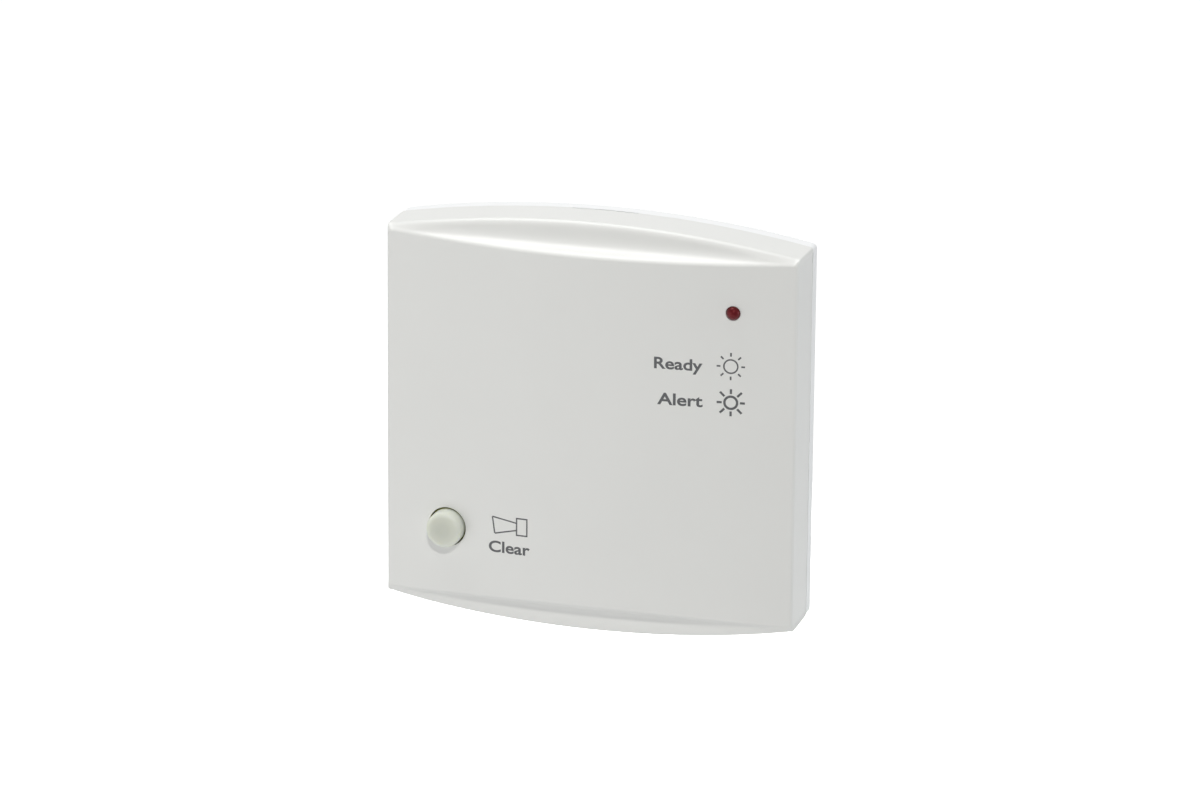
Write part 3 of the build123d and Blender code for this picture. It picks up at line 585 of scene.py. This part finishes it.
def fit_return_spring(material):
    """Coil spring in its CAD node's place, filling the depth of that node's box."""
    low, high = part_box("return_spring")
    shell = return_spring_shell(-1000 * high[1], -1000 * low[1])
    spring = build("return_spring_wire", shell, material, node="return_spring")
    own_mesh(spring)


# Printed marks: flat shapes in plan coordinates, laid on the bowed face
INK_THICK = 0.03
INK_SINK = 0.01             # how far the ink's underside lies in the face
LETTER_CAP = 0.73           # height of a capital letter in the font, as a share of its size
LETTER_WEIGHT = 0.022       # how far the letters' outlines are pushed out, as the same share
HORN_STROKE = 0.29
HORN_BOX = (-14.3, -12.07, -23.28, -19.67)      # left, right, bottom and top
HORN_MOUTH = ((-19.58, -19.83), (-19.07, -23.4))
HORN_NECK = (-20.72, -22.25)


def laid_on_face(flat, lift):
    """Plan points set on the face at a height over it."""
    flat = np.asarray(flat, float)
    z = face_depth(flat[:, 0]) + lift
    return np.column_stack([flat, z])


def ink_strip(shell, outer, inner):
    """Closed band of ink between two loops of plan points, with a top, a bottom and two sides."""
    rings = [shell.add_points(laid_on_face(loop, lift)) for loop, lift in
             ((outer, -INK_SINK), (outer, INK_THICK - INK_SINK),
              (inner, INK_THICK - INK_SINK), (inner, -INK_SINK))]
    for lower, upper in zip(rings, rings[1:] + rings[:1]):
        shell.join_loops(lower, upper)


def ink_ring(shell, centre, radius, stroke):
    """Printed ring: two circles, half a stroke inside and outside its radius."""
    angle = np.linspace(0, 2 * math.pi, RING_SEGMENTS, endpoint=False)
    unit = np.column_stack([np.cos(angle), np.sin(angle)])
    ink_strip(shell, centre + unit * (radius + stroke / 2), centre + unit * (radius - stroke / 2))


def ink_stroke(shell, start, end, stroke):
    """Printed straight stroke: a thin box along a line, with a bottom and a top."""
    start, end = np.array(start, float), np.array(end, float)
    along = (end - start) / np.linalg.norm(end - start)
    across = np.array([-along[1], along[0]]) * stroke / 2
    corners = np.array([start - across, end - across, end + across, start + across])
    low = shell.add_points(laid_on_face(corners, -INK_SINK))
    high = shell.add_points(laid_on_face(corners, INK_THICK - INK_SINK))
    shell.join_loops(low, high)
    shell.add_quads([low[::-1], high])


def ink_path(shell, points, stroke):
    """Printed outline of a closed path with mitred corners.

    Each corner moves along the mean of its two sides' normals, lengthened so that the stroke
    keeps its width.
    """
    points = np.array(points, float)
    ahead = np.roll(points, -1, axis=0) - points
    ahead /= np.linalg.norm(ahead, axis=1, keepdims=True)
    behind = np.roll(ahead, 1, axis=0)
    normal = np.column_stack([ahead[:, 1], -ahead[:, 0]])
    normal_behind = np.column_stack([behind[:, 1], -behind[:, 0]])
    mitre = normal + normal_behind
    mitre /= (mitre * normal).sum(axis=1, keepdims=True)
    ink_strip(shell, points + mitre * stroke / 2, points - mitre * stroke / 2)


def lamp_symbol(centre, ring_radius, ring_stroke, ray_start, ray_ends, ray_stroke):
    """Generic sign for a lamp: a ring with eight rays."""
    shell = Shell()
    centre = np.array(centre)
    ink_ring(shell, centre, ring_radius, ring_stroke)
    for step in range(8):
        turn = math.radians(45 * step)
        way = np.array([math.cos(turn), math.sin(turn)])
        end = ray_ends[step % 2]
        ink_stroke(shell, centre + way * ray_start, centre + way * end, ray_stroke)
    return shell


def horn_symbol():
    """Generic sign for a horn: a tapering bell and a small box, drawn in outline."""
    shell = Shell()
    left, right, bottom, top = HORN_BOX
    upper, lower = HORN_MOUTH
    ink_path(shell, [(right, bottom), (right, top), (left, top), (left, bottom)], HORN_STROKE)
    ink_stroke(shell, (left, HORN_NECK[0]), upper, HORN_STROKE)
    ink_stroke(shell, upper, lower, HORN_STROKE)
    ink_stroke(shell, lower, (left, HORN_NECK[1]), HORN_STROKE)
    return shell


def printed_word(name, text, left, right, baseline, height, material):
    """Generic word in bold letters, stretched to its place and laid on the face.

    The letters' width runs evenly from left to right, and a capital's height is the one given.
    """
    curve = bpy.data.curves.new(name, "FONT")
    curve.body = text
    curve.offset = LETTER_WEIGHT
    curve.extrude = 0.5
    curve.resolution_u = 6
    holder = bpy.data.objects.new(name, curve)
    bpy.context.scene.collection.objects.link(holder)
    bpy.context.view_layer.update()
    graph = bpy.context.evaluated_depsgraph_get()
    mesh = bpy.data.meshes.new_from_object(holder.evaluated_get(graph))
    bpy.data.objects.remove(holder)
    letters = np.empty(len(mesh.vertices) * 3)
    mesh.vertices.foreach_get("co", letters)
    x, y, z = letters.reshape(-1, 3).T
    flat = np.column_stack([left + (x - x.min()) / (x.max() - x.min()) * (right - left),
                            baseline + y / LETTER_CAP * height])
    lift = np.where(z > 0, INK_THICK - INK_SINK, -INK_SINK)
    points = stand(laid_on_face(flat, lift))
    mesh.vertices.foreach_set("co", points.astype(np.float32).ravel())
    close_mesh(mesh, 1e-7, dissolve=False)
    mesh.name = name
    mesh.materials.clear()
    return place_piece(name, mesh, material, "unit", None, SHARP_LETTER_TURN)


# Materials
def new_material(name, colour, roughness, metallic=0.0, specular=0.5):
    """Principled material with its constant values on the sockets."""
    material = bpy.data.materials.new(name)
    material.use_nodes = True
    shader = material.node_tree.nodes["Principled BSDF"]
    shader.inputs["Base Color"].default_value = (*colour, 1.0)
    shader.inputs["Roughness"].default_value = roughness
    shader.inputs["Metallic"].default_value = metallic
    shader.inputs["Specular IOR Level"].default_value = specular
    return material, material.node_tree.nodes, material.node_tree.links, shader


def add_noise(nodes, links, scale, detail=3.0, stretch=(1, 1, 1)):
    """Noise on Object coordinates, with its scale in cycles for each metre."""
    place = nodes.new("ShaderNodeTexCoord")
    mapping = nodes.new("ShaderNodeMapping")
    mapping.inputs["Scale"].default_value = stretch
    noise = nodes.new("ShaderNodeTexNoise")
    noise.inputs["Scale"].default_value = scale
    noise.inputs["Detail"].default_value = detail
    links.new(place.outputs["Object"], mapping.inputs["Vector"])
    links.new(mapping.outputs["Vector"], noise.inputs["Vector"])
    return noise


def add_range(nodes, links, source, low, high):
    """Maps a noise value to a range."""
    span = nodes.new("ShaderNodeMapRange")
    span.inputs["From Min"].default_value = 0.3
    span.inputs["From Max"].default_value = 0.7
    span.inputs["To Min"].default_value = low
    span.inputs["To Max"].default_value = high
    links.new(source, span.inputs["Value"])
    return span.outputs["Result"]


def add_bump(nodes, links, shader, source, distance, strength):
    """Bump from a height, with its distance in metres."""
    bump = nodes.new("ShaderNodeBump")
    bump.inputs["Distance"].default_value = distance
    bump.inputs["Strength"].default_value = strength
    links.new(source, bump.inputs["Height"])
    links.new(bump.outputs["Normal"], shader.inputs["Normal"])


def tinted(colour, factor):
    """A colour made lighter or darker."""
    return tuple(min(1.0, c * factor) for c in colour)


def between(nodes, links, shader, first, second, source):
    """Base colour that runs from one colour to another as a source goes from 0 to 1."""
    mix = nodes.new("ShaderNodeMix")
    mix.data_type = "RGBA"
    mix.inputs["A"].default_value = (*first, 1)
    mix.inputs["B"].default_value = (*second, 1)
    links.new(source, mix.inputs["Factor"])
    links.new(mix.outputs["Result"], shader.inputs["Base Color"])


def moulded(name, colour, roughness, grain, depth, cloud=0.02):
    """Moulded plastic: fine spark-eroded grain, faint clouding of colour and of gloss."""
    material, nodes, links, shader = new_material(name, colour, roughness)
    clouds = add_noise(nodes, links, 45.0, 2.0)
    between(nodes, links, shader, tinted(colour, 1 - cloud), tinted(colour, 1 + cloud),
            clouds.outputs["Fac"])
    fine = add_noise(nodes, links, grain, 2.0)
    links.new(add_range(nodes, links, fine.outputs["Fac"], roughness - 0.04, roughness + 0.04),
              shader.inputs["Roughness"])
    add_bump(nodes, links, shader, fine.outputs["Fac"], depth, 0.35)
    return material


def translucent(material, weight, radius, scale):
    """Lets light spread a little under the skin of a plastic."""
    shader = material.node_tree.nodes["Principled BSDF"]
    shader.inputs["Subsurface Weight"].default_value = weight
    shader.inputs["Subsurface Radius"].default_value = radius
    shader.inputs["Subsurface Scale"].default_value = scale


def blended(nodes, links, shader, colour, source, start, end):
    """Mixes a second colour over the base colour, smoothly between two values of a source."""
    share = nodes.new("ShaderNodeMapRange")
    share.interpolation_type = "SMOOTHSTEP"
    share.inputs["From Min"].default_value = start
    share.inputs["From Max"].default_value = end
    links.new(source, share.inputs["Value"])
    mix = nodes.new("ShaderNodeMix")
    mix.data_type = "RGBA"
    links.new(share.outputs["Result"], mix.inputs["Factor"])
    links.new(shader.inputs["Base Color"].links[0].from_socket, mix.inputs["A"])
    mix.inputs["B"].default_value = (*colour, 1)
    links.new(mix.outputs["Result"], shader.inputs["Base Color"])


def button_plastic():
    """Pale green plastic of the cap that lets some light in.

    Its colour is painted paler towards the rim, by the distance from the button's axis: painted
    light for the glow and sheen of the rim and the light across the dished top. Down in its hole
    it is painted olive, by the depth under the face: painted shade in the gap round the cap.
    """
    material = moulded("button_green", (0.57, 0.59, 0.515), 0.34, 4200.0, 6e-6)
    nodes, links = material.node_tree.nodes, material.node_tree.links
    shader = nodes["Principled BSDF"]
    place = nodes.new("ShaderNodeTexCoord")
    centred = nodes.new("ShaderNodeMapping")
    centred.inputs["Location"].default_value = (-BUTTON[0] / 1000, 0, -BUTTON[1] / 1000)
    centred.inputs["Scale"].default_value = (1, 0, 1)
    radius = nodes.new("ShaderNodeVectorMath")
    radius.operation = "LENGTH"
    links.new(place.outputs["Object"], centred.inputs["Vector"])
    links.new(centred.outputs["Vector"], radius.inputs[0])
    # Painted light: lighter outward from the middle, standing in for the light across the dished
    # top
    blended(nodes, links, shader, (0.62, 0.64, 0.56), radius.outputs["Value"], 0.0008, 0.0026)
    # Painted light: palest near the rim, standing in for the glow and sheen of the rounded edge
    blended(nodes, links, shader, (0.76, 0.79, 0.71), radius.outputs["Value"], 0.0024, 0.0038)
    parts = nodes.new("ShaderNodeSeparateXYZ")
    links.new(place.outputs["Object"], parts.inputs["Vector"])
    level = float(face_depth(BUTTON[0])) / 1000
    # Painted shade: olive below the face level, standing in for the coloured shade in the gap round
    # the cap
    blended(nodes, links, shader, (0.42, 0.42, 0.05), parts.outputs["Y"], -level, 0.0006 - level)
    translucent(material, 0.3, (1.0, 0.95, 0.5), 0.001)
    return material


def metal(name, colour, roughness, stretch=(1, 1, 1)):
    """Drawn or plated metal: fine streaks in gloss and a faint uneven surface."""
    material, nodes, links, shader = new_material(name, colour, roughness, 1.0)
    streaks = add_noise(nodes, links, 900.0, 3.0, stretch)
    links.new(add_range(nodes, links, streaks.outputs["Fac"], roughness - 0.08, roughness + 0.1),
              shader.inputs["Roughness"])
    add_bump(nodes, links, shader, streaks.outputs["Fac"], 1.5e-6, 0.4)
    return material


def lamp_red():
    """Dyed clear resin of a signal lamp, unlit: deep red with a glossy skin."""
    colour = (0.082, 0.002, 0.004)
    material, nodes, links, shader = new_material("lamp_resin", colour, 0.14, specular=0.45)
    shader.inputs["Specular Tint"].default_value = (1.0, 0.3, 0.32, 1.0)
    swirl = add_noise(nodes, links, 900.0, 2.0)
    between(nodes, links, shader, tinted(colour, 0.8), tinted(colour, 1.25),
            swirl.outputs["Fac"])
    return material


def printed_ink():
    """Screen-printed dark grey ink, with a slightly uneven film."""
    colour = (0.085, 0.088, 0.092)
    material, nodes, links, shader = new_material("dark_ink", colour, 0.55)
    film = add_noise(nodes, links, 2500.0, 2.0)
    between(nodes, links, shader, tinted(colour, 0.9), tinted(colour, 1.15), film.outputs["Fac"])
    add_bump(nodes, links, shader, film.outputs["Fac"], 2e-6, 0.4)
    return material


def solder_mask():
    """Green circuit board: glossy mask over copper tracks that show as paler lines."""
    base, track = (0.010, 0.085, 0.030), (0.022, 0.150, 0.055)
    material, nodes, links, shader = new_material("board_mask", base, 0.32)
    place = nodes.new("ShaderNodeTexCoord")
    lines = nodes.new("ShaderNodeTexBrick")
    lines.inputs["Scale"].default_value = 90.0
    lines.inputs["Mortar Size"].default_value = 0.03
    lines.inputs["Mortar Smooth"].default_value = 0.3
    lines.inputs["Brick Width"].default_value = 0.9
    lines.inputs["Row Height"].default_value = 0.16
    turned = nodes.new("ShaderNodeMapping")
    turned.inputs["Rotation"].default_value = (math.radians(90), 0, 0)
    links.new(place.outputs["Object"], turned.inputs["Vector"])
    links.new(turned.outputs["Vector"], lines.inputs["Vector"])
    between(nodes, links, shader, base, track, lines.outputs["Fac"])
    add_bump(nodes, links, shader, lines.outputs["Fac"], 2e-5, 0.5)
    return material


def paint(node, material):
    """Gives a CAD node its material."""
    if not node.material_slots:
        node.data.materials.append(material)
    for holder in node.material_slots:
        holder.material = material


# Camera, from the fit of the unit's edges: angles in radians, lengths in metres
CAMERA_TURN = 0.286228
CAMERA_RISE = 0.303933
CAMERA_ROLL = -0.008911
CAMERA_DISTANCE = 1.267647
CAMERA_SHIFT = (0.00168954, -0.00191701)
FOCAL_PIXELS = 6185.852     # focal length in pixels of a picture 1200 wide
SENSOR_WIDTH = 36.0


def make_camera():
    """Camera at the photograph's angle."""
    back = Vector((math.sin(CAMERA_TURN) * math.cos(CAMERA_RISE),
                   -math.cos(CAMERA_TURN) * math.cos(CAMERA_RISE), math.sin(CAMERA_RISE)))
    right = Vector((math.cos(CAMERA_TURN), math.sin(CAMERA_TURN), 0))
    up = back.cross(right)
    place = back * CAMERA_DISTANCE - right * CAMERA_SHIFT[0] - up * CAMERA_SHIFT[1]
    across = right * math.cos(CAMERA_ROLL) - up * math.sin(CAMERA_ROLL)
    upward = right * math.sin(CAMERA_ROLL) + up * math.cos(CAMERA_ROLL)
    camera = bpy.data.cameras.new("camera")
    camera.sensor_fit = "HORIZONTAL"
    camera.sensor_width = SENSOR_WIDTH
    camera.lens = FOCAL_PIXELS / 1200 * SENSOR_WIDTH
    camera.clip_start = 0.01
    camera.clip_end = 50.0
    holder = bpy.data.objects.new("camera", camera)
    holder.matrix_world = Matrix((
        (across.x, upward.x, back.x, place.x),
        (across.y, upward.y, back.y, place.y),
        (across.z, upward.z, back.z, place.z),
        (0, 0, 0, 1)))
    bpy.context.scene.collection.objects.link(holder)
    bpy.context.scene.camera = holder


def area_light(name, place, size, power, colour=(1, 1, 1)):
    """Soft square lamp that points at the unit's middle."""
    lamp = bpy.data.lights.new(name, "AREA")
    lamp.size = size
    lamp.energy = power
    lamp.color = colour
    holder = bpy.data.objects.new(name, lamp)
    aim = -Vector(place)
    holder.rotation_euler = aim.to_track_quat("-Z", "Y").to_euler()
    holder.location = place
    bpy.context.scene.collection.objects.link(holder)


def camera_white(nodes, links, lit, white):
    """Mixes two shaders so that direct, glossy and transmitted sight meets the plain white one."""
    path = nodes.new("ShaderNodeLightPath")
    seen = path.outputs["Is Camera Ray"]
    for kind in ("Is Glossy Ray", "Is Transmission Ray"):
        either = nodes.new("ShaderNodeMath")
        either.operation = "MAXIMUM"
        links.new(seen, either.inputs[0])
        links.new(path.outputs[kind], either.inputs[1])
        seen = either.outputs["Value"]
    mix = nodes.new("ShaderNodeMixShader")
    links.new(seen, mix.inputs["Fac"])
    links.new(lit, mix.inputs[1])
    links.new(white, mix.inputs[2])
    return mix.outputs["Shader"]


def make_world():
    """Even studio surround: a dim pale sky that shows as plain white."""
    world = bpy.data.worlds.new("studio")
    bpy.context.scene.world = world
    world.use_nodes = True
    nodes, links = world.node_tree.nodes, world.node_tree.links
    nodes.clear()
    output = nodes.new("ShaderNodeOutputWorld")
    sky = nodes.new("ShaderNodeBackground")
    sky.inputs["Color"].default_value = (0.97, 0.985, 1.0, 1)
    sky.inputs["Strength"].default_value = 0.136
    white = nodes.new("ShaderNodeBackground")
    white.inputs["Color"].default_value = (1, 1, 1, 1)
    white.inputs["Strength"].default_value = 1.0
    result = camera_white(nodes, links, sky.outputs["Background"], white.outputs["Background"])
    links.new(result, output.inputs["Surface"])


def make_floor():
    """Pale floor well below the unit.

    Its paint is lit like any other surface, so it keeps the unit's soft shadow. To the camera
    and in reflections a constant glow is added, which lifts the lit paint to white.
    """
    mesh = bpy.data.meshes.new("floor")
    reach, level = 6.0, -0.45
    corners = [(-reach, -reach, level), (reach, -reach, level), (reach, reach, level),
               (-reach, reach, level)]
    mesh.from_pydata(corners, [], [(0, 1, 2, 3)])
    floor = bpy.data.objects.new("floor", mesh)
    bpy.context.scene.collection.objects.link(floor)
    material, nodes, links, shader = new_material("pale_floor", (0.7, 0.7, 0.7), 0.9)
    glow = nodes.new("ShaderNodeEmission")
    glow.inputs["Strength"].default_value = 0.85
    both = nodes.new("ShaderNodeAddShader")
    links.new(shader.outputs["BSDF"], both.inputs[0])
    links.new(glow.outputs["Emission"], both.inputs[1])
    result = camera_white(nodes, links, shader.outputs["BSDF"], both.outputs["Shader"])
    links.new(result, nodes["Material Output"].inputs["Surface"])
    mesh.materials.append(material)


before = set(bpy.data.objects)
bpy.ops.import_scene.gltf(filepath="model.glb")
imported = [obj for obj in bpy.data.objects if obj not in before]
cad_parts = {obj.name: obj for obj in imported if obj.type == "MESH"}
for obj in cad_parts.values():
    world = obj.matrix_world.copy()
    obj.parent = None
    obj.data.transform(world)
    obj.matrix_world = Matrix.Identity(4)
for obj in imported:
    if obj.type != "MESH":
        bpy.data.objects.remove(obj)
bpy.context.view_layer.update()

bpy.context.scene.view_settings.view_transform = "Standard"
make_camera()
make_world()
make_floor()
area_light("key", (0.317, -1.105, 0.964), 0.08, 7.5, (1.0, 0.985, 0.96))
area_light("overhead", (-0.3, 0.1, 1.25), 0.7, 11.0)
area_light("near", (-0.45, -0.55, -0.1), 0.8, 1.95)
area_light("low", (0.1, -0.5, -0.4), 0.5, 0.45)
area_light("side", (1.2, 0.25, 0.1), 0.7, 5.0, (0.95, 0.98, 1.0))
area_light("back", (-0.15, 1.35, -0.25), 0.36, 5.5)

cover_white = moulded("cover_white", (0.76, 0.765, 0.745), 0.38, 5200.0, 8e-6)
base_white = moulded("base_white", (0.88, 0.89, 0.895), 0.42, 5200.0, 8e-6)
button_green = button_plastic()
ink = printed_ink()
red = lamp_red()

build("front_cover_shell", front_cover_shell(), cover_white, "unit", "front_cover")
build("reset_cap_shell", reset_cap_shell(), button_green, "reset_button", "reset_cap")
build("lamp_lens_dome", lamp_lens_shell(), red, "unit", "lamp_lens")
fine_sign = lamp_symbol(centre=(30.08, 16.6), ring_radius=1.4, ring_stroke=0.31,
                        ray_start=2.1, ray_ends=(2.86, 2.86), ray_stroke=0.35)
bold_sign = lamp_symbol(centre=(30.18, 9.0), ring_radius=1.28, ring_stroke=0.49,
                        ray_start=1.83, ray_ends=(2.85, 3.12), ray_stroke=0.46)
build("lamp_sign_fine", fine_sign, ink)
build("lamp_sign_bold", bold_sign, ink)
build("horn_sign", horn_symbol(), ink)
printed_word("word_ready", "Ready", 14.45, 24.35, 15.27, 2.44, ink)
printed_word("word_alert", "Alert", 15.2, 24.5, 7.75, 2.52, ink)
printed_word("word_clear", "Clear", -20.35, -11.42, -27.38, 2.44, ink)

black = moulded("black_plastic", (0.018, 0.018, 0.019), 0.45, 3000.0, 8e-6, 0.1)
tinned = metal("tinned_metal", (0.78, 0.78, 0.76), 0.3)
steel = metal("steel", (0.56, 0.56, 0.55), 0.3)
contact = metal("contact_metal", (0.80, 0.62, 0.32), 0.28)
can_metal = metal("can_metal", (0.82, 0.82, 0.83), 0.26, (1, 6, 1))
terminal_green = moulded("terminal_green", (0.03, 0.25, 0.09), 0.42, 3000.0, 8e-6, 0.05)
relay_cream = moulded("relay_case", (0.80, 0.78, 0.70), 0.4, 3000.0, 6e-6, 0.04)
chip_black = moulded("chip_resin", (0.03, 0.03, 0.032), 0.6, 4000.0, 1e-5, 0.15)
ceramic = moulded("ceramic", (0.42, 0.33, 0.24), 0.5, 4000.0, 6e-6, 0.08)
spacer_white = moulded("spacer_plastic", (0.7, 0.7, 0.68), 0.5, 3000.0, 6e-6)
mask = solder_mask()
fit_return_spring(steel)

NODE_FINISH = {
    "base_plate": base_white,
    "circuit_board": mask,
    "board_screws": steel,
    "lamp_spacer": spacer_white,
    "lamp_leads": tinned,
    "switch_body": black,
    "switch_cover": tinned,
    "switch_plunger": black,
    "contact_washer": contact,
    "return_spring": steel,
    "switch_contacts": contact,
    "sounder_case": black,
    "sounder_disc": contact,
    "sounder_plug": black,
    "sounder_pins": tinned,
    "output_relay": relay_cream,
    "relay_pins": tinned,
    "supply_terminal_block": terminal_green,
    "relay_terminal_block": terminal_green,
    "sensor_terminal_block": terminal_green,
    "terminal_clamps": steel,
    "terminal_screws": steel,
    "terminal_pins": tinned,
    "capacitor_cans": can_metal,
    "capacitor_bases": black,
    "controller_chip": chip_black,
    "controller_legs": tinned,
    "voltage_regulator": chip_black,
    "regulator_legs": tinned,
    "bridge_rectifier": chip_black,
    "rectifier_legs": tinned,
    "driver_transistor": chip_black,
    "transistor_legs": tinned,
    "relay_diode": chip_black,
    "chip_resistors": chip_black,
    "chip_capacitors": ceramic,
    "front_cover": cover_white,
    "reset_cap": button_green,
    "lamp_lens": red,
}
for node_name, finish in NODE_FINISH.items():
    paint(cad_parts[node_name], finish)
